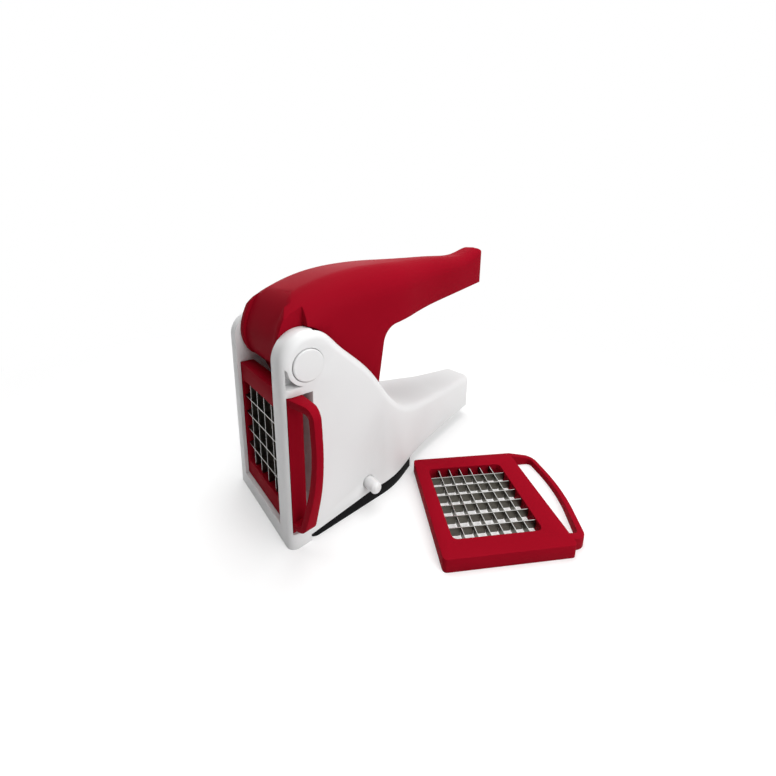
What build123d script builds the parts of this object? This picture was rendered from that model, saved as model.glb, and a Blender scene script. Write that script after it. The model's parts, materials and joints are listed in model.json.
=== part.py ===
"""Lever-operated potato slicer with a suction foot and two slide-in cutter cartridges."""
import math
import os

from build123d import *

os.makedirs("parts", exist_ok=True)

# Housing: overall sizes
body_width = 100.0
housing_reach = 247.0
cheek_rise = 22.0
cheek_thickness = 15.5
cheek_depth = 24.0
crown_radius = 20.0
side_wall = 4.0
waist_setback = 82.0
handle_end_width = 34.0
handle_end_lift = 14.5
handle_corner = 9.0
rim_radius = 6.5
floor_skin = 3.0
under_wall = 3.2
rib_thickness = 2.4
overrun = 2.0
reading_steps = 40

# Housing: outline shares of the reach and the cheek height, and of the narrowing waist
wall_top_shares = [(0.170, 0.914), (0.237, 0.816), (0.304, 0.701), (0.356, 0.582), (0.405, 0.497),
                   (0.462, 0.434), (0.534, 0.388), (0.672, 0.359), (1.000, 0.336)]
waist_shares = [(0.255, 0.690), (0.594, 0.330), (1.000, 0.000)]
waist_end_slope_share = -0.14
half_share = 0.5
handle_rib_shares = [0.60, 0.72, 0.84]

# Foot: the front toe stands on the table, the walls behind it ride on the rubber pad
stud_setback = 66.0
foot_length = 15.5
pad_front_height = 5.0
seat_height = 10.5
ramp_setback = 68.0
pad_end_setback = 124.0
pad_inset = 0.8
pad_corner = 6.0
pad_bore_radius = 33.0
plate_thickness = 2.5
plate_gap = 0.3
plate_hole_radius = 13.0
plate_boss_radius = 4.0
plate_screw_radius = 1.5
plate_screw_head_radius = 2.8
plate_screw_head_height = 1.6
plate_screw_length = 10.0
plate_screw_shares = [(0.308, 0.760), (0.453, 0.640)]

# Pivot of the lever
pivot_setback = 18.0
pivot_height = 130.0
shaft_radius = 4.0
shaft_end_gap = 0.4
shaft_bore_radius = 2.0
shaft_bore_depth = 7.0
cap_radius = 10.8
cap_seat_depth = 3.2
cap_proud = 1.4
cap_round = 1.0
cap_plug_length = 5.0
cap_groove = 0.5
cap_border = 3.2
pocket_depth = 10.0
pocket_ledge = 5.0
fixed_fit = 0.02
running_fit = 0.05
part_gap = 0.3

# Cutter cartridge
lip_thickness = 2.6
cartridge_gap = 0.3
cartridge_thickness = 10.0
cartridge_height = 99.0
loop_inset = 0.5
groove_wall = 6.5
frame_corner = 3.0
sill_height = 12.0
finger_recess = 7.2
opening_inset = 1.5
rail_height = 14.0
opening_corner = 4.0
blade_thickness = 0.8
blade_depth = 7.0
blade_tail = 3.0
blade_bevel = 0.9
blade_edge = 0.1
slot_gap = 0.1
retainer_thickness = 1.8
retainer_width = 6.0
loop_reach = 24.0
loop_band = 4.6
loop_thickness = 5.0
loop_shares = [(0.00, 1.00), (0.98, 1.00), (1.11, 0.56), (0.46, 0.06), (0.00, 0.05)]
loop_round_shares = [0.35, 5.50, 0.42]
cutter_cells = 5
spare_cells = 7

# The spare cartridge lies flat on the table beside the slicer
spare_setback = 66.5
spare_side_gap = 76.5
spare_yaw = -34.5

# Lever: outline shares of the reach behind the pivot and of the rise above it
lever_reach = 245.0
lever_rise = 67.0
lever_side_inset = 8.0
lever_tip_width = 28.0
lever_waist = 72.0
lever_skin = 3.0
lever_round = 26.0
lever_tip_round = 10.0
lever_tip_wall = 8.0
lever_steps = 12
lever_thickness = 34.0
lever_tip_corner = 8.0
lever_root_rise = 11.0
lever_root_round = 16.0
channel_setback = 86.0
lever_top_shares = [(-0.080, 0.380), (-0.045, 0.500), (0.009, 0.610), (0.099, 0.750), (0.233, 0.855),
                    (0.500, 0.907), (0.735, 0.932), (0.880, 0.970), (0.940, 1.035), (1.000, 1.070)]
hub_front_shares = [(-0.055, 0.140), (-0.039, 0.366), (-0.010, 0.560), (0.030, 0.760)]
drum_start_share = 0.020
drum_slope_share = 0.800
lever_waist_shares = [(0.300, 0.640), (0.650, 0.290), (1.000, 0.000)]
lever_end_slope_share = -0.12
hub_radius = 12.6
hub_side_gap = 0.6
hub_plate = 6.5
hub_tube_radius = 8.8
hub_notch = 5.0
hub_foot_angle = -130.0
hub_foot_drop = 16.0
bush_radius = 6.0
hub_recess = 2.0
close_angle = 20.0
cheek_clearance = 1.2

# Pusher, drawn with the lever closed: face upright behind the cartridge
pusher_gap = 1.8
pusher_side_gap = 2.0
pusher_plate = 4.5
pusher_flange = 3.5
pusher_depth = 44.0
pusher_gusset = 3.0
pusher_gusset_inset = 9.5
pusher_bar_height = 1.0
pusher_bar_width = 8.0
pusher_bar_drop = 34.0
pusher_bars = 5
pusher_drop = 26.0
pusher_reach = 100.0
skirt_drop = 53.0
skirt_depth = 50.0
pusher_screw_radius = 1.9
pusher_screw_head_radius = 3.6
pusher_screw_head_height = 2.4
pusher_screw_length = 11.0
pusher_boss_radius = 4.2
pusher_boss_height = 9.0
pusher_screw_shares = [(0.364, 0.462), (0.773, 0.462)]
floor_gap = 2.5

# Suction lock
knob_height = 21.0
knob_radius = 4.6
knob_length = 12.5
knob_round = 3.2
knob_socket_depth = 7.0
knob_seat_depth = 1.2
knob_seat_gap = 0.6
cam_shaft_radius = 3.0
cam_shaft_end = 12.0
cam_low_radius = 4.2
cam_lift = 2.4
cam_thickness = 8.0
cam_turn = 90.0
cam_top_gap = 0.7
cam_steps = 8
bearing_rib = 3.0
bearing_offset = 6.5
bearing_drop = 5.0
bearing_half_width = 7.0
clip_radius = 5.2
clip_thickness = 1.0
cup_radius = 32.6
cup_skin = 2.0
cup_rim_width = 4.0
cup_rim_height = 2.4
stud_flange_radius = 11.0
stud_flange_height = 2.5
stud_neck_radius = 4.5
yoke_wall = 2.4
yoke_window_gap = 0.6

# Places worked out from the sizes
front_x = -stud_setback
half_width = body_width / 2
cheek_inner = half_width - cheek_thickness
cheek_back_x = front_x + cheek_depth
end_x = front_x + housing_reach
waist_x = front_x + waist_setback
toe_x = front_x + foot_length
ramp_x = front_x + ramp_setback
pad_end_x = front_x + pad_end_setback
pivot_x = front_x + pivot_setback
cartridge_front_x = front_x + lip_thickness + cartridge_gap
slot_back_x = cartridge_front_x + cartridge_thickness + cartridge_gap
slot_top = sill_height + cartridge_height + 2 * cartridge_gap
pivot = (pivot_x, pivot_height)
cheek_height = pivot_height + cheek_rise
frame_edge_near = half_width - loop_inset
frame_edge_far = half_width - groove_wall
opening_width = 2 * (cheek_inner - opening_inset)
opening_height = cartridge_height - 2 * rail_height
opening_centre = sill_height + cartridge_gap + cartridge_height / 2
face_rel = lip_thickness + cartridge_gap + cartridge_thickness + pusher_gap - pivot_setback
floor_radius = math.hypot(pusher_reach, face_rel) + floor_gap
pusher_width = 2 * (cheek_inner - pusher_side_gap)
cheek_rel = cheek_depth - pivot_setback + cheek_clearance
sweep_radius = cheek_rise + cheek_clearance
hub_half = cheek_inner - hub_side_gap
recess_half = hub_half - hub_plate
lever_half = half_width - lever_side_inset
lever_tip_x = pivot_x + lever_reach
lever_tip_low = pivot_height + lever_rise - lever_thickness
lever_waist_x = pivot_x + lever_waist
sky = pivot_height + lever_reach
hollow_x = slot_back_x + finger_recess + under_wall
closed_turn = math.radians(close_angle)
closed_x = (math.cos(closed_turn), 0, math.sin(closed_turn))
closed_z = (-math.sin(closed_turn), 0, math.cos(closed_turn))
closed_plane = Plane(origin=(pivot_x, 0, pivot_height), x_dir=closed_x, z_dir=(0, -1, 0))


def swung(x, z):
    """A point given from the pivot with the lever closed, moved to where the lever rests."""
    return (pivot_x + x * closed_x[0] + z * closed_z[0], pivot_height + x * closed_x[2] + z * closed_z[2])


def save(piece, name):
    """Label one finished piece and write it."""
    piece.part.label = name
    export_step(piece.part, f"parts/{name}.step")


def window(x_low, x_high, z_low, z_high, mode=Mode.ADD):
    """A rectangle in the open sketch between two pairs of limits."""
    with Locations(((x_low + x_high) / 2, (z_low + z_high) / 2)):
        Rectangle(x_high - x_low, z_high - z_low, mode=mode)


def reading(curve, x):
    """Height of a curve where it passes x, level in front of its start."""
    low, high = 0, 1
    for _ in range(reading_steps):
        middle = (low + high) / 2
        if (curve @ middle).X < x:
            low = middle
        else:
            high = middle
    return (curve @ low).Y


def rounded_form(sections):
    """Long form through upright sections, each with its place, half width, height and corner round."""
    with BuildPart() as form:
        for x, half, height, corner in sections:
            with BuildSketch(Plane.YZ.offset(x)) as section:
                window(-half, half, 0, height)
                fillet(section.vertices().group_by(Axis.Y)[-1], corner)
        loft()
    return form.part


def end_trim(stop_x, half, height, radius):
    """What is cut from the end of a long form to round its upright corners and its upper edge."""
    with BuildPart() as trim:
        with BuildSketch(Plane.XY):
            window(stop_x - radius, stop_x + overrun, -half - overrun, half + overrun)
            with Locations((stop_x - half, 0)):
                RectangleRounded(2 * half, 2 * half, radius, mode=Mode.SUBTRACT)
        extrude(amount=sky)
        with BuildSketch(Plane.XZ):
            window(stop_x - radius, stop_x + overrun, height - radius, height + overrun)
            with Locations((stop_x - radius, height - radius)):
                Circle(radius, mode=Mode.SUBTRACT)
        extrude(amount=half + overrun, both=True)
    return trim.part


def drawn_in(sections, wall, end_wall):
    """Sections of the inside of a rounded form: a wall inside its sides and top, and short of its end."""
    inside = [(x, half - wall, height - wall, corner - wall) for x, half, height, corner in sections]
    return inside[:-1] + [(inside[-1][0] - end_wall, *inside[-1][1:])]


def narrowing_side(bend_x, stop_x, side, tip, shares, end_slope):
    """Side line that leaves a bend straight and narrows to a tip."""
    curve = [(bend_x + u * (stop_x - bend_x), tip + v * (side - tip)) for u, v in shares]
    return Spline([(bend_x, side)] + curve, tangents=[(1, 0), (1, end_slope)])


def narrowing_plan(start_x, bend_x, stop_x, side, tip, shares, end_slope):
    """Plan outline that runs straight to a bend and then narrows to a tip, on both sides alike."""
    with BuildSketch(Plane.XY) as outline:
        with BuildLine():
            Polyline((start_x, 0), (start_x, side), (bend_x, side))
            add(narrowing_side(bend_x, stop_x, side, tip, shares, end_slope))
            Line((stop_x, tip), (stop_x, 0))
            mirror(about=Plane.XZ)
        make_face()
    return outline.sketch


def housing_plan(inset, start_x):
    """Housing outline drawn in by an inset."""
    return narrowing_plan(start_x, waist_x, end_x - inset, half_width - inset, handle_end_width / 2 - inset,
                          waist_shares, waist_end_slope_share)


def seat_line(lift, start_x, stop_x):
    """Underside of the walls, raised by a lift: a ramp up from the toe, then level."""
    slope = (seat_height - pad_front_height) / (ramp_x - toe_x)
    return [(start_x, pad_front_height + lift + slope * (start_x - toe_x)),
            (ramp_x, seat_height + lift), (stop_x, seat_height + lift)]


housing_outline = housing_plan(0, front_x)
chamber_outline = housing_plan(side_wall, cheek_back_x)
hollow_outline = housing_plan(under_wall, hollow_x)
plate_outline = housing_plan(under_wall + plate_gap, hollow_x + plate_gap)
pad_outline = housing_plan(pad_inset, toe_x + part_gap)
plate_screw_spots = [(front_x + u * housing_reach, side * v * half_width)
                     for u, v in plate_screw_shares for side in (-1, 1)]

# Crest of the housing: a round crown over the cheeks, then down the walls to the handle
crown_start = (front_x, cheek_height - crown_radius)
crown_end = (front_x + crown_radius, cheek_height)
wall_top = [(front_x + u * housing_reach, v * cheek_height) for u, v in wall_top_shares]

# Potato chamber: a drum about the lever's pivot, between the side walls
with BuildPart() as chamber:
    with BuildSketch(Plane.XZ):
        with Locations(pivot):
            Circle(floor_radius)
    extrude(amount=half_width, both=True)
    extrude(chamber_outline, amount=sky, mode=Mode.INTERSECT)

# Throat between the cheeks, with the seat of the cartridge in front of it
with BuildPart() as throat:
    with BuildSketch(Plane.XZ):
        with Locations(pivot):
            Circle(floor_radius)
        window(slot_back_x, cheek_back_x + overrun, sill_height, sky, mode=Mode.INTERSECT)
        window(front_x - overrun, slot_back_x, sill_height, sky)
    extrude(amount=cheek_inner, both=True)

# Hollow underneath, less the screw bosses, the cam bearings and the handle's cross ribs
with BuildPart() as hollow:
    roof = [(x, z - floor_skin) for x, z in [crown_end] + wall_top]
    with BuildSketch(Plane.XZ):
        with BuildLine():
            Spline(roof, tangents=[(1, 0), (1, 0)])
            Polyline(roof[-1], (end_x, -overrun), (roof[0][0], -overrun), roof[0])
        make_face()
        with Locations(pivot):
            Circle(floor_radius + floor_skin, mode=Mode.SUBTRACT)
    extrude(amount=half_width, both=True)
    extrude(hollow_outline, amount=sky, both=True, mode=Mode.INTERSECT)
    with BuildSketch(Plane.XY.offset(seat_height)):
        with Locations(*plate_screw_spots):
            Circle(plate_boss_radius)
    extrude(amount=cheek_height, mode=Mode.SUBTRACT)
    for side in (-1, 1):
        with BuildSketch(Plane.XZ.offset(side * bearing_offset - bearing_rib / 2)):
            window(-bearing_half_width, bearing_half_width, knob_height - bearing_drop, cheek_height)
        extrude(amount=bearing_rib, mode=Mode.SUBTRACT)
    for share in handle_rib_shares:
        with BuildSketch(Plane.YZ.offset(front_x + share * housing_reach)):
            window(-half_width, half_width, handle_end_lift + under_wall, cheek_height)
        extrude(amount=rib_thickness, mode=Mode.SUBTRACT)

# Space that the base plate takes up between the walls
with BuildPart() as plate_space:
    with BuildSketch(Plane.XZ):
        with BuildLine():
            Polyline(*seat_line(-overrun, toe_x, pad_end_x),
                     *reversed(seat_line(plate_thickness, toe_x, pad_end_x)), close=True)
        make_face()
    extrude(amount=half_width, both=True)
    extrude(hollow_outline, amount=sky, both=True, mode=Mode.INTERSECT)

# Housing: cheeks, side walls, curved chamber floor and lower handle in one moulding
with BuildPart() as housing:
    with BuildSketch(Plane.XZ):
        with BuildLine():
            Polyline((toe_x, pad_front_height), (toe_x, 0), (front_x, 0), crown_start)
            RadiusArc(crown_start, crown_end, crown_radius)
            Spline([crown_end] + wall_top, tangents=[(1, 0), (1, 0)])
            Polyline(wall_top[-1], (end_x, handle_end_lift), (pad_end_x, seat_height), (ramp_x, seat_height),
                     (toe_x, pad_front_height))
        make_face()
    extrude(amount=half_width, both=True)
    extrude(housing_outline, amount=sky, mode=Mode.INTERSECT)
    fillet(housing.edges().filter_by(Axis.Z).group_by(Axis.X)[-1], handle_corner)
    above = housing.faces().filter_by(lambda f: f.center().Z > handle_end_lift + seat_height)
    crest = above.filter_by(lambda f: f.normal_at().Z > 0)
    fillet(crest.edges().filter_by(lambda e: abs(e.center().Y) > overrun), rim_radius)
    for tool in (chamber, throat, hollow, plate_space):
        add(tool.part, mode=Mode.SUBTRACT)
    # Cartridge aperture through the near cheek, and the blind groove in the far one
    with BuildSketch(Plane.XZ.offset(cheek_inner - overrun)):
        window(front_x + lip_thickness, slot_back_x + finger_recess, sill_height, slot_top)
    extrude(amount=cheek_thickness + 2 * overrun, mode=Mode.SUBTRACT)
    with BuildSketch(Plane.XZ.offset(-frame_edge_far - part_gap)):
        window(front_x + lip_thickness, slot_back_x, sill_height, slot_top)
    extrude(amount=frame_edge_far + part_gap - cheek_inner + overrun, mode=Mode.SUBTRACT)
    for side in (-1, 1):
        # Pocket in front of each pivot cap, and the cap's seat with a groove round it
        ledge = slot_top + pocket_ledge
        with BuildSketch(Plane.XZ.offset(side * half_width)):
            with BuildLine():
                Polyline((front_x + lip_thickness, ledge), (front_x + lip_thickness, pivot_height),
                         (pivot_x, ledge), close=True)
            make_face()
            with Locations(pivot):
                Circle(cap_radius + cap_border, mode=Mode.SUBTRACT)
        extrude(amount=-side * pocket_depth, mode=Mode.SUBTRACT)
        with BuildSketch(Plane.XZ.offset(side * (half_width - cap_seat_depth))):
            with Locations(pivot):
                Circle(cap_radius + cap_groove)
        extrude(amount=side * cap_seat_depth, mode=Mode.SUBTRACT)
    with BuildSketch(Plane.XZ):
        with Locations(pivot):
            Circle(shaft_radius + fixed_fit)
    extrude(amount=half_width, both=True, mode=Mode.SUBTRACT)
    # Seat of the knob, cam shaft bearings, and the pilot holes of the base plate's screws
    with BuildSketch(Plane.XZ.offset(half_width - knob_seat_depth)):
        with Locations((0, knob_height)):
            Circle(knob_radius + knob_seat_gap)
    extrude(amount=knob_seat_depth + overrun, mode=Mode.SUBTRACT)
    with BuildSketch(Plane.XZ.offset(-bearing_offset - bearing_rib)):
        with Locations((0, knob_height)):
            Circle(cam_shaft_radius + running_fit)
    extrude(amount=half_width + bearing_offset + bearing_rib + overrun, mode=Mode.SUBTRACT)
    with BuildSketch(Plane.XY.offset(seat_height)):
        with Locations(*plate_screw_spots):
            Circle(plate_screw_radius)
    extrude(amount=plate_screw_length + part_gap, mode=Mode.SUBTRACT)
save(housing, "housing")

# Base plate that closes the hollow and carries the pad
with BuildPart() as base_plate:
    with BuildSketch(Plane.XZ):
        with BuildLine():
            Polyline(*seat_line(0, toe_x, pad_end_x),
                     *reversed(seat_line(plate_thickness, toe_x, pad_end_x)), close=True)
        make_face()
    extrude(amount=half_width, both=True)
    extrude(plate_outline, amount=sky, mode=Mode.INTERSECT)
    with BuildSketch(Plane.XY):
        Circle(plate_hole_radius)
        with Locations(*plate_screw_spots):
            Circle(plate_screw_radius + running_fit)
    extrude(amount=cheek_height, mode=Mode.SUBTRACT)
    with BuildSketch(Plane.XY):
        with Locations(*plate_screw_spots):
            Circle(plate_screw_head_radius + running_fit)
    extrude(amount=seat_height + plate_screw_head_height, mode=Mode.SUBTRACT)
save(base_plate, "base_plate")

with BuildPart() as base_plate_screws:
    with BuildSketch(Plane.XY.offset(seat_height)):
        with Locations(*plate_screw_spots):
            Circle(plate_screw_head_radius)
    extrude(amount=plate_screw_head_height)
    with BuildSketch(Plane.XY.offset(seat_height)):
        with Locations(*plate_screw_spots):
            Circle(plate_screw_radius - fixed_fit)
    extrude(amount=plate_screw_length)
save(base_plate_screws, "base_plate_screws")

# Rubber pad under the walls, wedge-shaped towards the toe, with a bore for the suction cup
with BuildPart() as suction_pad:
    with BuildSketch(Plane.XZ):
        with BuildLine():
            Polyline((toe_x, 0), *seat_line(0, toe_x, pad_end_x), (pad_end_x, 0), close=True)
        make_face()
    extrude(amount=half_width, both=True)
    extrude(pad_outline, amount=sky, mode=Mode.INTERSECT)
    fillet(suction_pad.edges().filter_by(Axis.Z).group_by(Axis.X)[0], pad_corner)
    with BuildSketch(Plane.XY):
        Circle(pad_bore_radius)
    extrude(amount=sky, mode=Mode.SUBTRACT)
save(suction_pad, "suction_pad")

with BuildPart() as suction_cup:
    with BuildSketch(Plane.XY):
        Circle(cup_radius)
    extrude(amount=cup_skin)
    with BuildSketch(Plane.XY.offset(cup_skin)):
        Circle(cup_radius)
        Circle(cup_radius - cup_rim_width, mode=Mode.SUBTRACT)
    extrude(amount=cup_rim_height)
save(suction_cup, "suction_cup")

# Lift stud: flange on the cup, neck through the base plate, and a yoke round the cam
yoke_half = cam_low_radius + cam_lift + yoke_window_gap
yoke_low = knob_height - cam_low_radius - cam_lift - yoke_window_gap
yoke_high = knob_height + cam_low_radius + cam_top_gap
with BuildPart() as lift_stud:
    with BuildSketch(Plane.XY.offset(cup_skin)):
        Circle(stud_flange_radius)
    extrude(amount=stud_flange_height)
    with BuildSketch(Plane.XY.offset(cup_skin)):
        Circle(stud_neck_radius)
    extrude(amount=yoke_low - cup_skin)
    with BuildSketch(Plane.XZ):
        window(-yoke_half - yoke_wall, yoke_half + yoke_wall, yoke_low - yoke_wall, yoke_high + yoke_wall)
    extrude(amount=cam_thickness / 2, both=True)
    with BuildSketch(Plane.XZ):
        window(-yoke_half, yoke_half, yoke_low, yoke_high)
    extrude(amount=half_width, both=True, mode=Mode.SUBTRACT)
save(lift_stud, "lift_stud")

# Lift cam: its radius grows evenly over the knob's turn, so the stud rises in step with it
with BuildPart() as lift_cam:
    turns = [i / cam_steps for i in range(cam_steps + 1)]
    rise = [(cam_low_radius + cam_lift * t, math.radians(cam_turn) * t) for t in turns]
    flank = [(-r * math.sin(a), r * math.cos(a)) for r, a in rise]
    with BuildSketch(Plane.XZ):
        with BuildLine():
            Spline([(x, knob_height + z) for x, z in flank])
            Spline([(x, knob_height - z) for x, z in reversed(flank)])
            ThreePointArc((0, knob_height - cam_low_radius), (cam_low_radius, knob_height),
                          (0, knob_height + cam_low_radius))
        make_face()
        with Locations((0, knob_height)):
            Circle(cam_shaft_radius + fixed_fit, mode=Mode.SUBTRACT)
    extrude(amount=cam_thickness / 2, both=True)
save(lift_cam, "lift_cam")

with BuildPart() as cam_shaft:
    with BuildSketch(Plane.XZ.offset(-cam_shaft_end)):
        with Locations((0, knob_height)):
            Circle(cam_shaft_radius)
    extrude(amount=cam_shaft_end + half_width + knob_socket_depth)
save(cam_shaft, "cam_shaft")

# Knob of the suction lock: a round peg outside the near wall
with BuildPart() as suction_knob:
    with BuildSketch(Plane.XZ.offset(half_width - knob_seat_depth + part_gap)):
        with Locations((0, knob_height)):
            Circle(knob_radius)
    extrude(amount=knob_seat_depth - part_gap + knob_length)
    fillet(suction_knob.faces().sort_by(Axis.Y)[0].edges(), knob_round)
    with BuildSketch(Plane.XZ.offset(half_width - knob_seat_depth)):
        with Locations((0, knob_height)):
            Circle(cam_shaft_radius + fixed_fit)
    extrude(amount=knob_seat_depth + knob_socket_depth, mode=Mode.SUBTRACT)
save(suction_knob, "suction_knob")

# Clip that keeps the cam shaft from pulling out through the near wall
with BuildPart() as shaft_clip:
    with BuildSketch(Plane.XZ.offset(half_width - under_wall - part_gap)):
        with Locations((0, knob_height)):
            Circle(clip_radius)
            Circle(cam_shaft_radius + fixed_fit, mode=Mode.SUBTRACT)
    extrude(amount=-clip_thickness)
save(shaft_clip, "shaft_clip")

# Pivot shaft through both cheeks, bored at its ends for the plugs of the caps
shaft_end = half_width - cap_seat_depth - shaft_end_gap
with BuildPart() as pivot_shaft:
    with BuildSketch(Plane.XZ):
        with Locations(pivot):
            Circle(shaft_radius)
    extrude(amount=shaft_end, both=True)
    for side in (-1, 1):
        with BuildSketch(Plane.XZ.offset(side * shaft_end)):
            with Locations(pivot):
                Circle(shaft_bore_radius)
        extrude(amount=-side * shaft_bore_depth, mode=Mode.SUBTRACT)
save(pivot_shaft, "pivot_shaft")

for side, name in ((1, "pivot_cap_near"), (-1, "pivot_cap_far")):
    with BuildPart() as pivot_cap:
        with BuildSketch(Plane.XZ.offset(side * (half_width - cap_seat_depth))):
            with Locations(pivot):
                Circle(cap_radius)
        extrude(amount=side * (cap_seat_depth + cap_proud))
        fillet(pivot_cap.faces().sort_by(Axis.Y)[0 if side > 0 else -1].edges(), cap_round)
        with BuildSketch(Plane.XZ.offset(side * (half_width - cap_seat_depth))):
            with Locations(pivot):
                Circle(shaft_bore_radius - fixed_fit)
        extrude(amount=-side * cap_plug_length)
    save(pivot_cap, name)

# Lever, part-open: crown line, side line, sections between them, front of the hub and the drum
lever_top = [(pivot_x + u * lever_reach, pivot_height + v * lever_rise) for u, v in lever_top_shares]
lever_top_line = Spline(lever_top)
lever_side_line = narrowing_side(lever_waist_x, lever_tip_x, lever_half, lever_tip_width / 2,
                                 lever_waist_shares, lever_end_slope_share)
lever_start_x = lever_top[0][0]
lever_places = [lever_start_x + i / lever_steps * (lever_tip_x - lever_start_x)
                for i in range(lever_steps + 1)]
lever_taper = [max(0, x - lever_waist_x) / (lever_tip_x - lever_waist_x) for x in lever_places]
lever_sections = [(x, reading(lever_side_line, x), reading(lever_top_line, x),
                   lever_round - taper * (lever_round - lever_tip_round))
                  for x, taper in zip(lever_places, lever_taper)]
lever_inside = drawn_in(lever_sections, lever_skin, lever_tip_wall)
hub_front = [(pivot_x + u * lever_reach, pivot_height + v * lever_rise) for u, v in hub_front_shares]
notch_x = pivot_x + hub_notch
root = (lever_waist_x, pivot_height + lever_root_rise)
hub_foot = (pivot_x + hub_radius * math.cos(math.radians(hub_foot_angle)),
            pivot_height + hub_radius * math.sin(math.radians(hub_foot_angle)))
boss_x, boss_z = swung(0, -pusher_drop)
boss_plane = Plane(origin=(boss_x, 0, boss_z), x_dir=closed_x, z_dir=closed_z)
rib_side = pusher_screw_shares[0][1] * pusher_width / 2
pusher_screw_spots = [(u * pusher_depth, side * v * pusher_width / 2)
                      for u, v in pusher_screw_shares for side in (-1, 1)]
drum_start_x = pivot_x + drum_start_share * lever_reach
drum_line = [(drum_start_x, reading(lever_top_line, drum_start_x)),
             (hub_front[2][0] + hub_recess, hub_front[2][1] - hub_recess / 2),
             (hub_front[1][0] + hub_recess, hub_front[1][1] - hub_recess / 2),
             (hub_front[0][0] + hub_recess, hub_front[0][1]),
             (pivot_x - hub_radius + hub_recess, pivot_height), (hub_foot[0] + hub_recess, hub_foot[1])]
drum_inside = [(x + lever_skin, z - lever_skin) for x, z in drum_line[:-1]]
drum_inside.append((drum_line[-1][0] + lever_skin, drum_line[-1][1] + lever_skin))
drum_slope = (-1, -drum_slope_share)

# Inside of the lever behind the hub, less the tube, the long ribs and the screw bosses
with BuildPart() as lever_hollow:
    front_inner = notch_x + lever_skin
    with BuildSketch(Plane.XZ):
        with BuildLine():
            Polyline((front_inner, sky), (front_inner, pivot_height), swung(cheek_rel + lever_skin, 0),
                     swung(cheek_rel + lever_skin, -skirt_drop - overrun),
                     swung(skirt_depth - lever_skin, -skirt_drop - overrun),
                     (root[0] - lever_skin, root[1]), (root[0] - lever_skin, sky), close=True)
        make_face()
        with Locations(pivot):
            Circle(sweep_radius + lever_skin, mode=Mode.SUBTRACT)
    extrude(amount=lever_half, both=True)
    add(rounded_form(lever_inside), mode=Mode.INTERSECT)
    # Between the hub plates the hollow runs forward to the inside of the drum and stays under it
    with BuildSketch(Plane.XZ.offset(-recess_half - lever_skin)):
        with BuildLine():
            Spline(drum_inside, tangents=[drum_slope, (1, -1)])
            Polyline(drum_inside[-1], (front_x - lever_reach, drum_inside[-1][1]),
                     (front_x - lever_reach, sky), (drum_inside[0][0], sky), drum_inside[0])
        make_face()
    extrude(amount=2 * (recess_half + lever_skin), mode=Mode.SUBTRACT)
    with BuildSketch(Plane.XZ.offset(-recess_half)):
        with BuildLine():
            Spline(drum_inside, tangents=[drum_slope, (1, -1)])
            Polyline(drum_inside[-1], swung(face_rel + lever_skin, lever_skin - hub_foot_drop),
                     swung(face_rel + lever_skin, -pusher_drop - overrun),
                     swung(cheek_rel + 2 * lever_skin, -pusher_drop - overrun),
                     (drum_inside[0][0], pivot_height), drum_inside[0])
        make_face()
    extrude(amount=2 * recess_half)
    # Below the hub plates the skirt is open in front, where the pusher hangs
    with BuildSketch(closed_plane.offset(-hub_half)):
        window(face_rel, cheek_rel + 2 * lever_skin, -skirt_drop - overrun, -pusher_drop)
    extrude(amount=2 * hub_half)
    with BuildSketch(Plane.XZ):
        with Locations(pivot):
            Circle(hub_tube_radius)
    extrude(amount=recess_half, both=True, mode=Mode.SUBTRACT)
    for side in (-1, 1):
        with BuildSketch(closed_plane.offset(side * rib_side - rib_thickness / 2)):
            window(-lever_reach, lever_reach, -pusher_drop, lever_reach)
        extrude(amount=rib_thickness, mode=Mode.SUBTRACT)
    with BuildSketch(boss_plane):
        with Locations(*pusher_screw_spots):
            Circle(pusher_boss_radius)
    extrude(amount=pusher_boss_height, mode=Mode.SUBTRACT)

# Channel under the handle, open below
with BuildPart() as lever_channel:
    with BuildSketch(Plane.XZ):
        window(pivot_x + channel_setback, lever_tip_x, pivot_height, sky)
    extrude(amount=lever_half, both=True)
    add(rounded_form(lever_inside), mode=Mode.INTERSECT)

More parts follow.
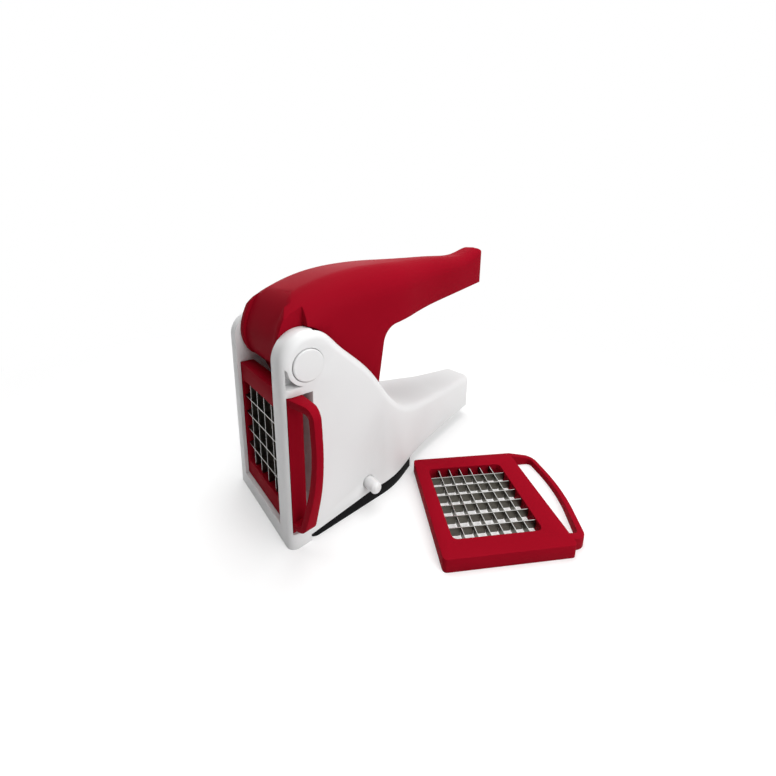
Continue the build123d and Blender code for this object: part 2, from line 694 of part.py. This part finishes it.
# Lever shell: hub plates, body and handle in one moulding, hollow from below
with BuildPart() as lever_shell:
    with BuildSketch(Plane.XZ.offset(-half_width)) as lever_side:
        with BuildLine():
            Spline(hub_front)
            Polyline(hub_front[-1], (hub_front[-1][0], sky), (lever_tip_x + overrun, sky),
                     (lever_tip_x + overrun, lever_tip_low), root,
                     swung(skirt_depth, -skirt_drop), swung(cheek_rel, -skirt_drop),
                     swung(cheek_rel, -pusher_drop), swung(face_rel, -pusher_drop),
                     swung(face_rel, -hub_foot_drop), hub_foot)
            ThreePointArc(hub_foot, (pivot_x - hub_radius, pivot_height), hub_front[0])
        make_face()
        fillet(lever_side.vertices().sort_by_distance(root)[0], lever_root_round)
    extrude(amount=body_width)
    add(rounded_form(lever_sections), mode=Mode.INTERSECT)
    corner_x = lever_tip_x - lever_tip_corner
    add(end_trim(lever_tip_x, reading(lever_side_line, corner_x), reading(lever_top_line, corner_x),
                 lever_tip_corner), mode=Mode.SUBTRACT)
    # Room for the cheeks on both sides of the hub
    for side in (-1, 1):
        with BuildSketch(Plane.XZ.offset(side * hub_half)):
            with BuildLine():
                Polyline((notch_x, sky), (notch_x, pivot_height), swung(cheek_rel, 0),
                         swung(cheek_rel, -lever_reach), (front_x - lever_reach, 0),
                         (front_x - lever_reach, sky), close=True)
            make_face()
            with Locations(pivot):
                Circle(sweep_radius)
        extrude(amount=side * lever_half, mode=Mode.SUBTRACT)
    # Drum set back between the hub plates, leaving the top in a curve
    with BuildSketch(Plane.XZ.offset(-recess_half)):
        with BuildLine():
            Spline(drum_line, tangents=[drum_slope, (1, -1)])
            Polyline(drum_line[-1], (drum_line[-1][0], 0), (front_x - lever_reach, 0),
                     (front_x - lever_reach, sky), (drum_line[0][0], sky), drum_line[0])
        make_face()
    extrude(amount=2 * recess_half, mode=Mode.SUBTRACT)
    add(lever_hollow.part, mode=Mode.SUBTRACT)
    add(lever_channel.part, mode=Mode.SUBTRACT)
    # Bore of the tube, seats of the two bushes, and pilot holes in the bosses
    with BuildSketch(Plane.XZ):
        with Locations(pivot):
            Circle(shaft_radius + part_gap)
    extrude(amount=hub_half, both=True, mode=Mode.SUBTRACT)
    for side in (-1, 1):
        with BuildSketch(Plane.XZ.offset(side * recess_half)):
            with Locations(pivot):
                Circle(bush_radius + fixed_fit)
        extrude(amount=side * hub_plate, mode=Mode.SUBTRACT)
    with BuildSketch(boss_plane):
        with Locations(*pusher_screw_spots):
            Circle(pusher_screw_radius)
    extrude(amount=pusher_screw_length - pusher_flange + part_gap, mode=Mode.SUBTRACT)
save(lever_shell, "lever_shell")

for side, name in ((1, "hub_bush_near"), (-1, "hub_bush_far")):
    with BuildPart() as hub_bush:
        with BuildSketch(Plane.XZ.offset(side * recess_half)):
            with Locations(pivot):
                Circle(bush_radius)
                Circle(shaft_radius + running_fit, mode=Mode.SUBTRACT)
        extrude(amount=side * hub_plate)
    save(hub_bush, name)

# Pusher block: face plate, flange under the lever's ribs, gussets, and bars on the face
with BuildPart() as pusher_block:
    flange_low = -pusher_drop - pusher_flange
    plate_back = face_rel + pusher_plate
    with BuildSketch(closed_plane.offset(-pusher_width / 2)):
        window(face_rel, plate_back, -pusher_reach, -pusher_drop)
        window(face_rel, face_rel + pusher_depth, flange_low, -pusher_drop)
    extrude(amount=pusher_width)
    for side in (-1, 1):
        gusset_side = side * (pusher_width / 2 - pusher_gusset_inset)
        with BuildSketch(closed_plane.offset(gusset_side - pusher_gusset / 2)):
            with BuildLine():
                Polyline((plate_back, flange_low), (face_rel + pusher_depth, flange_low),
                         (plate_back, -pusher_reach), close=True)
            make_face()
        extrude(amount=pusher_gusset)
    bar_pitch = pusher_width / pusher_bars
    for i in range(pusher_bars):
        bar_low = (i + half_share) * bar_pitch - pusher_width / 2 - pusher_bar_width / 2
        with BuildSketch(closed_plane.offset(bar_low)):
            window(face_rel - pusher_bar_height, face_rel, -pusher_reach, -pusher_bar_drop)
        extrude(amount=pusher_bar_width)
    with BuildSketch(boss_plane):
        with Locations(*pusher_screw_spots):
            Circle(pusher_screw_radius + running_fit)
    extrude(amount=-pusher_flange, mode=Mode.SUBTRACT)
save(pusher_block, "pusher_block")

with BuildPart() as pusher_screws:
    with BuildSketch(boss_plane.offset(-pusher_flange)):
        with Locations(*pusher_screw_spots):
            Circle(pusher_screw_head_radius)
    extrude(amount=-pusher_screw_head_height)
    with BuildSketch(boss_plane.offset(-pusher_flange)):
        with Locations(*pusher_screw_spots):
            Circle(pusher_screw_radius - fixed_fit)
    extrude(amount=pusher_screw_length)
save(pusher_screws, "pusher_screws")

# Cutter cartridges: one in the slot, one lying on the table, with the loop towards local X
spare_along = (math.cos(math.radians(spare_yaw)), math.sin(math.radians(spare_yaw)))
spare_across = (-spare_along[1], spare_along[0])
spare_shift = [along * frame_edge_far + across * cartridge_height / 2
               for along, across in zip(spare_along, spare_across)]
spare_x = front_x + spare_setback + spare_shift[0]
spare_y = -half_width - spare_side_gap + spare_shift[1]
slot_plane = Plane(origin=(cartridge_front_x, 0, opening_centre), x_dir=(0, -1, 0), z_dir=(-1, 0, 0))
table_plane = Plane(origin=(spare_x, spare_y, cartridge_thickness), x_dir=(*spare_along, 0), z_dir=(0, 0, 1))
blade_back = retainer_thickness - cartridge_thickness
blade_mid = blade_back + blade_depth / 2
loop_line = [(frame_edge_near + u * loop_reach, (v - half_share) * cartridge_height) for u, v in loop_shares]
loop_root = frame_edge_near - loop_band
slot_width = blade_thickness + 2 * slot_gap
half_blade = blade_thickness / 2


def loop_sketch(plane):
    """Outline of the finger loop, drawn back into the frame by the width of its band."""
    with BuildSketch(plane) as outline:
        Polygon((loop_root, loop_line[-1][1]), (loop_root, loop_line[0][1]), *loop_line, align=None)
        for corner, share in zip(loop_line[1:-1], loop_round_shares):
            fillet(outline.vertices().sort_by_distance(corner)[0], share * loop_reach)
    return outline.sketch


def blade_section(spot):
    """Section of one blade: square in front, bevelled towards the edge that meets the potato."""
    Polygon((spot - half_blade, blade_back + blade_depth), (spot - half_blade, blade_back + blade_bevel),
            (spot - blade_edge / 2, blade_back), (spot + blade_edge / 2, blade_back),
            (spot + half_blade, blade_back + blade_bevel), (spot + half_blade, blade_back + blade_depth),
            align=None)


for stem, plane, cells in (("cutter", slot_plane, cutter_cells), ("spare", table_plane, spare_cells)):
    upright_spots = [(i / cells - half_share) * opening_width for i in range(1, cells)]
    cross_spots = [(i / cells - half_share) * opening_height for i in range(1, cells)]
    upright_reach = opening_height / 2 + blade_tail
    cross_reach = opening_width / 2 + blade_tail
    upright_plane = Plane(origin=plane.origin, x_dir=plane.x_dir, z_dir=-plane.y_dir)
    cross_plane = Plane(origin=plane.origin, x_dir=plane.y_dir, z_dir=plane.x_dir)
    with BuildPart() as cartridge_frame:
        with BuildSketch(plane):
            with Locations(((frame_edge_near - frame_edge_far) / 2, 0)):
                RectangleRounded(frame_edge_near + frame_edge_far, cartridge_height, frame_corner)
        extrude(amount=-cartridge_thickness)
        extrude(loop_sketch(plane), amount=-cartridge_thickness)
        with BuildSketch(plane):
            offset(loop_sketch(Plane.XY), amount=-loop_band)
        extrude(amount=-cartridge_thickness, mode=Mode.SUBTRACT)
        # The loop's front leans back, so that its band is thinner than the frame
        with BuildSketch(upright_plane):
            lean = cartridge_thickness - loop_thickness
            loop_end = frame_edge_near + 2 * loop_reach
            Polygon((frame_edge_near, 0), (loop_end, -2 * lean), (loop_end, overrun),
                    (frame_edge_near, overrun), align=None)
        extrude(amount=cartridge_height, both=True, mode=Mode.SUBTRACT)
        with BuildSketch(plane):
            RectangleRounded(opening_width, opening_height, opening_corner)
        extrude(amount=-cartridge_thickness, mode=Mode.SUBTRACT)
        with BuildSketch(plane.offset(-cartridge_thickness)):
            Rectangle(opening_width + 2 * retainer_width, opening_height + 2 * retainer_width)
        extrude(amount=retainer_thickness, mode=Mode.SUBTRACT)
        with BuildSketch(plane.offset(blade_back)):
            for spot in upright_spots:
                with Locations((spot, 0)):
                    Rectangle(slot_width, 2 * upright_reach + 2 * slot_gap)
            for spot in cross_spots:
                with Locations((0, spot)):
                    Rectangle(2 * cross_reach + 2 * slot_gap, slot_width)
        extrude(amount=blade_depth, mode=Mode.SUBTRACT)
    save(cartridge_frame, f"{stem}_frame")

    with BuildPart() as retainer:
        with BuildSketch(plane.offset(-cartridge_thickness)):
            Rectangle(opening_width + 2 * retainer_width - 2 * slot_gap,
                      opening_height + 2 * retainer_width - 2 * slot_gap)
            RectangleRounded(opening_width, opening_height, opening_corner, mode=Mode.SUBTRACT)
        extrude(amount=retainer_thickness)
    save(retainer, f"{stem}_retainer")

    # Upright blades are notched from the front, cross blades from behind, so the two sets lap
    with BuildPart() as upright_blades:
        with BuildSketch(upright_plane):
            for spot in upright_spots:
                blade_section(spot)
        extrude(amount=upright_reach, both=True)
        with BuildSketch(plane.offset(blade_mid)):
            for spot in cross_spots:
                with Locations((0, spot)):
                    Rectangle(2 * cross_reach, slot_width)
        extrude(amount=blade_depth, mode=Mode.SUBTRACT)
    save(upright_blades, f"{stem}_upright_blades")

    with BuildPart() as cross_blades:
        with BuildSketch(cross_plane):
            for spot in cross_spots:
                blade_section(spot)
        extrude(amount=cross_reach, both=True)
        with BuildSketch(plane.offset(blade_mid)):
            for spot in upright_spots:
                with Locations((spot, 0)):
                    Rectangle(slot_width, 2 * upright_reach)
        extrude(amount=-blade_depth, mode=Mode.SUBTRACT)
    save(cross_blades, f"{stem}_cross_blades")
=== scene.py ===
import json
import math

import bpy
from mathutils import Matrix, Vector

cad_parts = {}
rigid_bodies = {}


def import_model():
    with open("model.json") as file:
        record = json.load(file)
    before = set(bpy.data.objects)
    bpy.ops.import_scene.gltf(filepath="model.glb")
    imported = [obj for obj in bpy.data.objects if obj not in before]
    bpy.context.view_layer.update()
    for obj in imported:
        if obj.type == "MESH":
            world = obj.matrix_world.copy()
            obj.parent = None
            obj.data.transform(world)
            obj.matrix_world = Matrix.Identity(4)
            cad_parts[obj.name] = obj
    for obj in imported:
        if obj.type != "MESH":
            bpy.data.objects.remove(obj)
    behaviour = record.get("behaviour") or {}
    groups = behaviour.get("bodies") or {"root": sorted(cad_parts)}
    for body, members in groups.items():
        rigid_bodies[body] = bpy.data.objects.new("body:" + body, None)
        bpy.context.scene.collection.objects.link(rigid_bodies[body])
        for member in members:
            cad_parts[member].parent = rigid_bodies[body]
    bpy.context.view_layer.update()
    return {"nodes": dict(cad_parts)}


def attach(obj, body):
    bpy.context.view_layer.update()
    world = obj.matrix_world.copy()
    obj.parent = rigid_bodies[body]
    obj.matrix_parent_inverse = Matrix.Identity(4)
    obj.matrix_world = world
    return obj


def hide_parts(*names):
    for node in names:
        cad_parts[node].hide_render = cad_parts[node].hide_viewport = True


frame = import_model()
print("frame loaded:", len(frame["nodes"]), "nodes")

nodeSpacing = 220  # between neighbours in the node editor


def clearSelection():
    if bpy.context.object and bpy.context.object.mode != "OBJECT":
        bpy.ops.object.mode_set(mode="OBJECT")
    bpy.ops.object.select_all(action="DESELECT")


def addNode(tree, kind, column, row, **inputs):
    node = tree.nodes.new(kind)
    node.location = (column * nodeSpacing, row * nodeSpacing)
    for name, value in inputs.items():
        node.inputs[name].default_value = value
    return node


def addMath(tree, operation, column, row):
    node = addNode(tree, "ShaderNodeMath", column, row)
    node.operation = operation
    return node


def joinNodes(tree, pairs):
    for source, target in pairs:
        tree.links.new(source, target)


# rays that meet the bare background: seen directly, through glass or in a reflection
def backgroundRays(tree, column, row):
    path = addNode(tree, "ShaderNodeLightPath", column, row)
    rays = path.outputs["Is Camera Ray"]
    for step, kind in enumerate(("Is Transmission Ray", "Is Glossy Ray")):
        either = addMath(tree, "MAXIMUM", column + step + 1, row)
        joinNodes(tree, ((rays, either.inputs[0]), (path.outputs[kind], either.inputs[1])))
        rays = either.outputs["Value"]
    return rays


def newMaterial(name):
    material = bpy.data.materials.new(name)
    material.use_nodes = True
    return material, material.node_tree, material.node_tree.nodes["Principled BSDF"]


# colour between two shades, low and high are where the texture reaches them
def addTint(tree, shader, texture, settings, low, high):
    tint = addNode(tree, "ShaderNodeValToRGB", -2, 1)
    for stop, shade, place in zip(tint.color_ramp.elements, ("deepColour", "colour"), (low, high)):
        stop.color = (*settings[shade], 1)
        stop.position = place
    joinNodes(tree, (
        (texture.outputs["Fac"], tint.inputs["Fac"]),
        (tint.outputs["Color"], shader.inputs["Base Color"])))


# the same texture in gloss and in height
def addGrain(tree, shader, texture, settings, height):
    dull = settings["roughness"] + settings["roughnessSpread"]
    bright = settings["roughness"] - settings["roughnessSpread"]
    gloss = addNode(tree, "ShaderNodeMapRange", -2, 0, **{"To Min": bright, "To Max": dull})
    bump = addNode(tree, "ShaderNodeBump", -2, -1, Strength=settings["bump"], Distance=height)
    joinNodes(tree, (
        (texture.outputs["Fac"], gloss.inputs["Value"]),
        (gloss.outputs["Result"], shader.inputs["Roughness"]),
        (texture.outputs["Fac"], bump.inputs["Height"]),
        (bump.outputs["Normal"], shader.inputs["Normal"])))


# moulded plastic and rubber: slow colour drift, fine grain
plasticBasics = {"ior": 1.49, "driftDetail": 3.0, "driftLow": 0.3, "driftHigh": 0.7,
                 "grainDetail": 2.0, "grainHeight": 0.0002}


def mouldedPlastic(name, settings):
    material, tree, shader = newMaterial(name)
    coords = addNode(tree, "ShaderNodeTexCoord", -4, 0)
    drift = addNode(tree, "ShaderNodeTexNoise", -3, 1,
                    Scale=settings["driftScale"], Detail=plasticBasics["driftDetail"])
    grain = addNode(tree, "ShaderNodeTexNoise", -3, 0,
                    Scale=settings["grainScale"], Detail=plasticBasics["grainDetail"])
    for texture in (drift, grain):
        tree.links.new(coords.outputs["Object"], texture.inputs["Vector"])
    addTint(tree, shader, drift, settings, plasticBasics["driftLow"], plasticBasics["driftHigh"])
    addGrain(tree, shader, grain, settings, plasticBasics["grainHeight"])
    shader.inputs["IOR"].default_value = plasticBasics["ior"]
    shader.inputs["Specular IOR Level"].default_value = settings["sheen"]
    return material


# steel for turned parts and blades: streaks along one direction
steelBasics = {"streakDetail": 4.0, "streakHeight": 0.0001}


def streakedSteel(name, settings):
    material, tree, shader = newMaterial(name)
    coords = addNode(tree, "ShaderNodeTexCoord", -5, 0)
    stretch = addNode(tree, "ShaderNodeMapping", -4, 0, Scale=settings["stretch"])
    streaks = addNode(tree, "ShaderNodeTexNoise", -3, 0,
                      Scale=settings["streakScale"], Detail=steelBasics["streakDetail"])
    joinNodes(tree, (
        (coords.outputs["Object"], stretch.inputs["Vector"]),
        (stretch.outputs["Vector"], streaks.inputs["Vector"])))
    addTint(tree, shader, streaks, settings, 0, 1)
    addGrain(tree, shader, streaks, settings, steelBasics["streakHeight"])
    shader.inputs["Metallic"].default_value = 1
    return material


whiteShell = mouldedPlastic("whiteShell", {
    "colour": (0.80, 0.80, 0.80), "deepColour": (0.765, 0.765, 0.768), "driftScale": 9.0,
    "grainScale": 900.0, "roughness": 0.34, "roughnessSpread": 0.04, "bump": 0.03, "sheen": 0.4})
redShell = mouldedPlastic("redShell", {
    "colour": (0.300, 0.0038, 0.0142), "deepColour": (0.268, 0.0032, 0.0118), "driftScale": 12.0,
    "grainScale": 1100.0, "roughness": 0.50, "roughnessSpread": 0.05, "bump": 0.05, "sheen": 0.01})
naturalPlastic = mouldedPlastic("naturalPlastic", {
    "colour": (0.72, 0.71, 0.68), "deepColour": (0.66, 0.65, 0.62), "driftScale": 20.0,
    "grainScale": 700.0, "roughness": 0.5, "roughnessSpread": 0.06, "bump": 0.08, "sheen": 0.4})
padRubber = mouldedPlastic("padRubber", {
    "colour": (0.0065, 0.0065, 0.0070), "deepColour": (0.0045, 0.0045, 0.0050), "driftScale": 30.0,
    "grainScale": 1600.0, "roughness": 0.68, "roughnessSpread": 0.08, "bump": 0.3, "sheen": 0.08})
# blade steel: the dark colour on the flats is painted shade, the bright colour on the edge faces is a
# painted highlight
bladePaintedShade = streakedSteel("bladePaintedShade", {
    "colour": (0.17, 0.16, 0.135), "deepColour": (0.085, 0.08, 0.068), "stretch": (0.25, 0.25, 3.0),
    "streakScale": 260.0, "roughness": 0.34, "roughnessSpread": 0.07, "bump": 0.05})
bladePaintedHighlight = streakedSteel("bladePaintedHighlight", {
    "colour": (0.86, 0.86, 0.84), "deepColour": (0.66, 0.66, 0.64), "stretch": (0.25, 0.25, 3.0),
    "streakScale": 260.0, "roughness": 0.22, "roughnessSpread": 0.06, "bump": 0.04})
turnedSteel = streakedSteel("turnedSteel", {
    "colour": (0.64, 0.64, 0.65), "deepColour": (0.50, 0.50, 0.51), "stretch": (1.0, 4.0, 1.0),
    "streakScale": 500.0, "roughness": 0.30, "roughnessSpread": 0.08, "bump": 0.06})
print("materials made")

nodeFinish = {
    "base_plate": whiteShell, "suction_cup": padRubber, "pivot_shaft": turnedSteel,
    "base_plate_screws": turnedSteel, "pusher_screws": turnedSteel, "cam_shaft": turnedSteel,
    "shaft_clip": turnedSteel, "hub_bush_near": naturalPlastic, "hub_bush_far": naturalPlastic,
    "lift_cam": naturalPlastic, "lift_stud": naturalPlastic}
for nodeName, finish in nodeFinish.items():
    nodeObject = frame["nodes"][nodeName]
    nodeObject.data.materials.clear()
    nodeObject.data.materials.append(finish)
print("finishes set on", len(nodeFinish), "inner nodes")

# copy of a CAD node with its facets merged, ready for a softer edge
mergeSettings = {"nearest": 0.000005, "flatAngle": 0.02}


def mergedCopy(nodeName, pieceName):
    clearSelection()
    nodeObject = frame["nodes"][nodeName]
    nodeObject.select_set(True)
    bpy.context.view_layer.objects.active = nodeObject
    bpy.ops.object.duplicate()
    piece = bpy.context.object
    piece.name = pieceName
    piece.data.name = pieceName
    for key in list(piece.keys()):
        del piece[key]
    bpy.ops.object.parent_clear(type="CLEAR_KEEP_TRANSFORM")
    bpy.ops.object.transform_apply(location=True, rotation=True, scale=True)
    bpy.ops.object.mode_set(mode="EDIT")
    bpy.ops.mesh.select_all(action="SELECT")
    bpy.ops.mesh.customdata_custom_splitnormals_clear()
    bpy.ops.mesh.remove_doubles(threshold=mergeSettings["nearest"])
    bpy.ops.mesh.dissolve_limited(angle_limit=math.radians(mergeSettings["flatAngle"]))
    bpy.ops.object.mode_set(mode="OBJECT")
    piece.data.materials.clear()
    return piece


def softEdges(piece, settings):
    bpy.ops.object.modifier_add(type="BEVEL")
    bevel = piece.modifiers[-1]
    bevel.width = settings["edge"]
    bevel.segments = settings["steps"]
    bevel.limit_method = "ANGLE"
    bevel.angle_limit = math.radians(settings["edgeAngle"])
    bpy.ops.object.modifier_apply(modifier=bevel.name)
    bpy.ops.object.shade_smooth_by_angle(angle=math.radians(settings["smoothAngle"]))


mouldedSettings = {
    "housing": {"piece": "whiteHousing", "body": "body", "finish": whiteShell, "edge": 0.0006},
    "suction_pad": {"piece": "rubberPad", "body": "body", "finish": padRubber, "edge": 0.0005},
    "pivot_cap_near": {"piece": "capNear", "body": "body", "finish": whiteShell, "edge": 0.0002},
    "pivot_cap_far": {"piece": "capFar", "body": "body", "finish": whiteShell, "edge": 0.0002},
    "suction_knob": {"piece": "pegKnob", "body": "knob", "finish": whiteShell, "edge": 0.0003},
    "lever_shell": {"piece": "redLever", "body": "lever", "finish": redShell, "edge": 0.0006},
    "pusher_block": {"piece": "redPusher", "body": "lever", "finish": redShell, "edge": 0.0004},
    "cutter_frame": {"piece": "fittedFrame", "body": "cutter", "finish": redShell, "edge": 0.0004},
    "cutter_retainer": {"piece": "fittedRetainer", "body": "cutter", "finish": redShell, "edge": 0.0003},
    "spare_frame": {"piece": "looseFrame", "body": "spare", "finish": redShell, "edge": 0.0004},
    "spare_retainer": {"piece": "looseRetainer", "body": "spare", "finish": redShell, "edge": 0.0003},
}
edgeSettings = {"steps": 2, "edgeAngle": 38.0, "smoothAngle": 32.0}
for nodeName, settings in mouldedSettings.items():
    piece = mergedCopy(nodeName, settings["piece"])
    piece.data.materials.append(settings["finish"])
    softEdges(piece, {**edgeSettings, **settings})
    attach(piece, settings["body"])
    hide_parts(nodeName)
    print("moulding:", settings["piece"], len(piece.data.polygons), "faces")

# blades: thinned; darker steel on the flats is painted shade, brighter steel on the edge-facing faces is
# a painted highlight
bladeShape = {
    "grid": 0.00005,  # step that sorts points along the thin direction
    "span": 20,  # grid steps, wider than a blade and narrower than a cell
    "keep": 0.55,  # share of the solid's thickness
    "highlightShare": 0.3}  # faces that look this much along the edge direction get the painted highlight
looseYaw = math.radians(-34.5)  # turn of the loose cartridge on the table
looseAlong = (math.cos(looseYaw), math.sin(looseYaw), 0)
looseAcross = (-math.sin(looseYaw), math.cos(looseYaw), 0)


# draws the points of each blade in towards its own middle
def thinBlades(piece, thin):
    stacks = {}
    for vertex in piece.data.vertices:
        stacks.setdefault(round(vertex.co.dot(thin) / bladeShape["grid"]), []).append(vertex)
    spots = sorted(stacks)
    while spots:
        blade = [spot for spot in spots if spot - spots[0] <= bladeShape["span"]]
        spots = spots[len(blade):]
        points = [vertex for spot in blade for vertex in stacks[spot]]
        places = [vertex.co.dot(thin) for vertex in points]
        middle = (min(places) + max(places)) / 2
        for vertex, place in zip(points, places):
            vertex.co -= thin * (place - middle) * (1 - bladeShape["keep"])


bladeSettings = {
    "cutter_upright_blades": {
        "piece": "fittedUprights", "body": "cutter", "edge": (1, 0, 0), "thin": (0, 1, 0)},
    "cutter_cross_blades": {
        "piece": "fittedCross", "body": "cutter", "edge": (1, 0, 0), "thin": (0, 0, 1)},
    "spare_upright_blades": {
        "piece": "looseUprights", "body": "spare", "edge": (0, 0, 1), "thin": looseAlong},
    "spare_cross_blades": {
        "piece": "looseCross", "body": "spare", "edge": (0, 0, 1), "thin": looseAcross},
}
for nodeName, settings in bladeSettings.items():
    piece = mergedCopy(nodeName, settings["piece"])
    piece.data.materials.append(bladePaintedShade)
    piece.data.materials.append(bladePaintedHighlight)
    thinBlades(piece, Vector(settings["thin"]))
    edge = Vector(settings["edge"])
    # faces along the edge direction get the painted highlight steel, all others the painted shade steel
    for face in piece.data.polygons:
        face.material_index = 1 if abs(face.normal.dot(edge)) > bladeShape["highlightShare"] else 0
    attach(piece, settings["body"])
    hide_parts(nodeName)
    print("blades:", settings["piece"], len(piece.data.polygons), "faces")

# floor: keeps the shadow near the object and fades to plain white further out
floorSettings = {"half": 4.0, "colour": 0.70, "glow": 0.34, "fadeStart": 0.24, "fadeEnd": 0.60}


def paleFloor(settings):
    material, tree, shader = newMaterial("paleFloor")
    tree.nodes.remove(shader)
    coords = addNode(tree, "ShaderNodeTexCoord", -5, 0)
    reach = addNode(tree, "ShaderNodeVectorMath", -4, 0)
    reach.operation = "LENGTH"
    fade = addNode(tree, "ShaderNodeMapRange", -3, 0,
                   **{"From Min": settings["fadeStart"], "From Max": settings["fadeEnd"]})
    seen = backgroundRays(tree, -5, -2)
    fadeSeen = addMath(tree, "MULTIPLY", -2, 0)
    glowSeen = addMath(tree, "MULTIPLY", -2, -2)
    glowSeen.inputs[1].default_value = settings["glow"]
    matt = addNode(tree, "ShaderNodeBsdfDiffuse", -1, 1, Color=(settings["colour"],) * 3 + (1,))
    glow = addNode(tree, "ShaderNodeEmission", -1, -1)
    shadowed = addNode(tree, "ShaderNodeAddShader", 0, 1)
    plainWhite = addNode(tree, "ShaderNodeEmission", 0, -1)
    mix = addNode(tree, "ShaderNodeMixShader", 1, 0)
    joinNodes(tree, (
        (coords.outputs["Object"], reach.inputs[0]),
        (reach.outputs["Value"], fade.inputs["Value"]),
        (fade.outputs["Result"], fadeSeen.inputs[0]),
        (seen, fadeSeen.inputs[1]),
        (seen, glowSeen.inputs[0]),
        (glowSeen.outputs["Value"], glow.inputs["Strength"]),
        (matt.outputs["BSDF"], shadowed.inputs[0]),
        (glow.outputs["Emission"], shadowed.inputs[1]),
        (fadeSeen.outputs["Value"], mix.inputs["Fac"]),
        (shadowed.outputs["Shader"], mix.inputs[1]),
        (plainWhite.outputs["Emission"], mix.inputs[2]),
        (mix.outputs["Shader"], tree.nodes["Material Output"].inputs["Surface"])))
    return material


clearSelection()
bpy.ops.mesh.primitive_plane_add(size=2 * floorSettings["half"], location=(0, 0, 0))
floorObject = bpy.context.object
floorObject.name = "studioFloor"
floorObject.data.materials.append(paleFloor(floorSettings))

# world: white where it is seen, and a soft light that is dimmer in front of the cheeks
worldSettings = {"frontLight": 0.02, "rearLight": 0.33}


def softWorld(settings):
    world = bpy.data.worlds.new("softWorld")
    world.use_nodes = True
    tree = world.node_tree
    tree.nodes.clear()
    seen = backgroundRays(tree, -4, -1)
    heading = addNode(tree, "ShaderNodeTexCoord", -4, 1)
    split = addNode(tree, "ShaderNodeSeparateXYZ", -3, 1)
    ambient = addNode(tree, "ShaderNodeMapRange", -2, 1, **{
        "From Min": -1, "To Min": settings["frontLight"], "To Max": settings["rearLight"]})
    strength = addNode(tree, "ShaderNodeMapRange", -1, 0)
    sky = addNode(tree, "ShaderNodeBackground", 0, 0, Color=(1, 1, 1, 1))
    output = addNode(tree, "ShaderNodeOutputWorld", 1, 0)
    joinNodes(tree, (
        (heading.outputs["Generated"], split.inputs["Vector"]),
        (split.outputs["X"], ambient.inputs["Value"]),
        (ambient.outputs["Result"], strength.inputs["To Min"]),
        (seen, strength.inputs["Value"]),
        (strength.outputs["Result"], sky.inputs["Strength"]),
        (sky.outputs["Background"], output.inputs["Surface"])))
    return world


bpy.context.scene.world = softWorld(worldSettings)

lampSettings = [
    {"name": "keyLamp", "place": (0.10, -0.85, 0.60), "size": 0.7, "power": 6.4},
    {"name": "topLamp", "place": (0.12, 0.05, 1.1), "size": 0.9, "power": 9.4},
    {"name": "fillLamp", "place": (0.30, 0.95, 0.50), "size": 0.9, "power": 3.6},
]
lampTarget = Vector((0.02, -0.03, 0.08))
for lamp in lampSettings:
    clearSelection()
    bpy.ops.object.light_add(type="AREA", location=lamp["place"])
    lampObject = bpy.context.object
    lampObject.name = lamp["name"]
    lampObject.data.size = lamp["size"]
    lampObject.data.energy = lamp["power"]
    aim = lampTarget - Vector(lamp["place"])
    lampObject.rotation_euler = aim.to_track_quat("-Z", "Y").to_euler()
print("floor, world and lamps placed")

# camera: place and directions fitted to the object's corners and edges in the photograph
cameraSettings = {
    "place": (-0.143476, -0.23329, 0.208465), "right": (0.74465476, -0.66733235, 0.01252278),
    "down": (-0.12095162, -0.15337001, -0.98073867), "look": (0.65639926, 0.72879707, -0.19492264),
    "lens": 15.466, "sensor": 36.0, "shiftX": -0.0036, "shiftY": -0.1051, "nearest": 0.01}
clearSelection()
bpy.ops.object.camera_add(location=(0, 0, 0))
cameraObject = bpy.context.object
cameraObject.name = "photoCamera"
right = Vector(cameraSettings["right"])
upward = -Vector(cameraSettings["down"])
backward = -Vector(cameraSettings["look"])
turn = Matrix((right, upward, backward)).transposed().to_4x4()
cameraObject.matrix_world = Matrix.Translation(cameraSettings["place"]) @ turn
cameraObject.data.sensor_width = cameraSettings["sensor"]
cameraObject.data.lens = cameraSettings["lens"]
cameraObject.data.shift_x = cameraSettings["shiftX"]
cameraObject.data.shift_y = cameraSettings["shiftY"]
cameraObject.data.clip_start = cameraSettings["nearest"]
bpy.context.scene.camera = cameraObject
bpy.context.scene.view_settings.view_transform = "Standard"
print("camera set")
